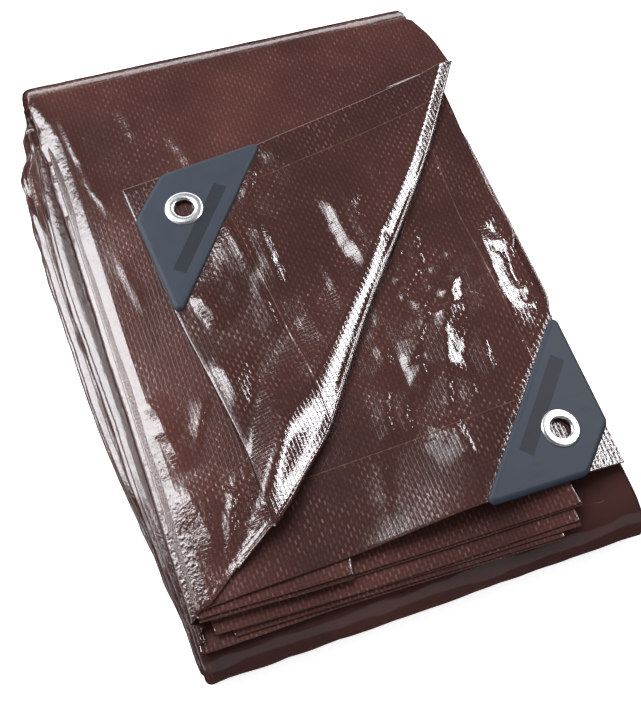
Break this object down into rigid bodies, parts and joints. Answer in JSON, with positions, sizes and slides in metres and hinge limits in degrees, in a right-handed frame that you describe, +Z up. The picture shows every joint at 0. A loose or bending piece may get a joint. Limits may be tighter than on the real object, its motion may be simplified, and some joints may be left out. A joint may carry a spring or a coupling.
{
  "type": "folded poly tarp",
  "caption": "Woven poly tarp folded into a flat packet, one corner laid back over a slanted roll, with plastic corner pieces and metal eyelets.",
  "frame": {"origin": "under the middle of the packet's outline, on the surface it lies on", "axes": "+X from the packet's folded left side to its open right side, +Y from the front to the back bend, +Z up"},
  "size_m": [0.2742, 0.4002, 0.0567],
  "materials": {
    "woven_poly": "gloss film over a dark brown weave",
    "corner_plastic": "satin",
    "eyelet_metal": "polished"
  },
  "bodies": {
    "root": {"tarp": "woven_poly", "corner_piece_flap": "corner_plastic", "eyelet_flap": "eyelet_metal", "corner_piece_front": "corner_plastic", "eyelet_front": "eyelet_metal"}
  },
  "joints": []
}
